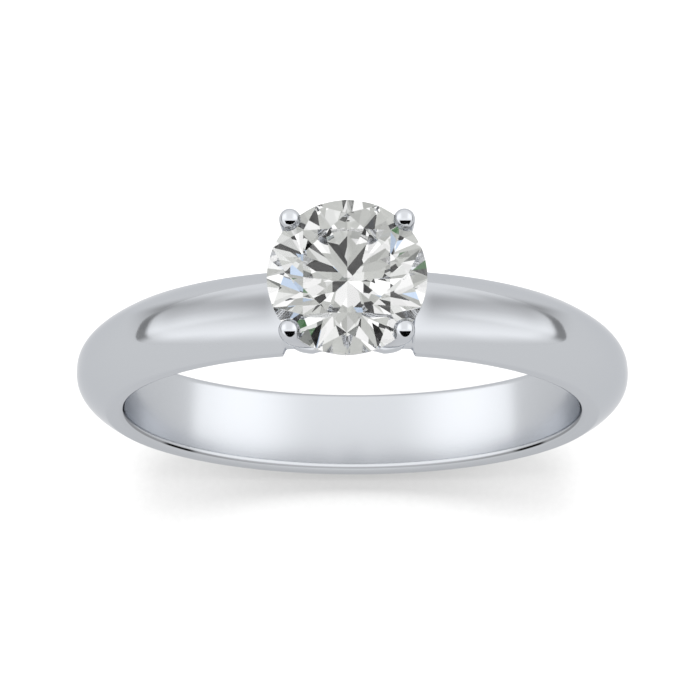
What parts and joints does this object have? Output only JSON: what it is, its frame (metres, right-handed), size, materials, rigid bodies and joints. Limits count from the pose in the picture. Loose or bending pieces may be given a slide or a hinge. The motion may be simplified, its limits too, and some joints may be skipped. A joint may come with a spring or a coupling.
{
  "type": "engagement ring",
  "caption": "Polished white-metal solitaire ring: a domed band carries a prong head that holds a round brilliant stone.",
  "frame": {"origin": "centre of the finger bore, on its axis and midway across the band's width", "axes": "+Y along the finger, +Z from the finger up through the centre of the stone, +X across the band"},
  "size_m": [0.021, 0.0058, 0.0251],
  "materials": {
    "white_gold": "high polish, rhodium-plated white gold",
    "diamond": "polished facets"
  },
  "bodies": {
    "root": {"shank": "white_gold", "head_base": "white_gold", "head_peg": "white_gold", "gallery_rail": "white_gold", "prong_front_left": "white_gold", "prong_front_right": "white_gold", "prong_back_left": "white_gold", "prong_back_right": "white_gold", "centre_stone": "diamond"}
  },
  "joints": []
}
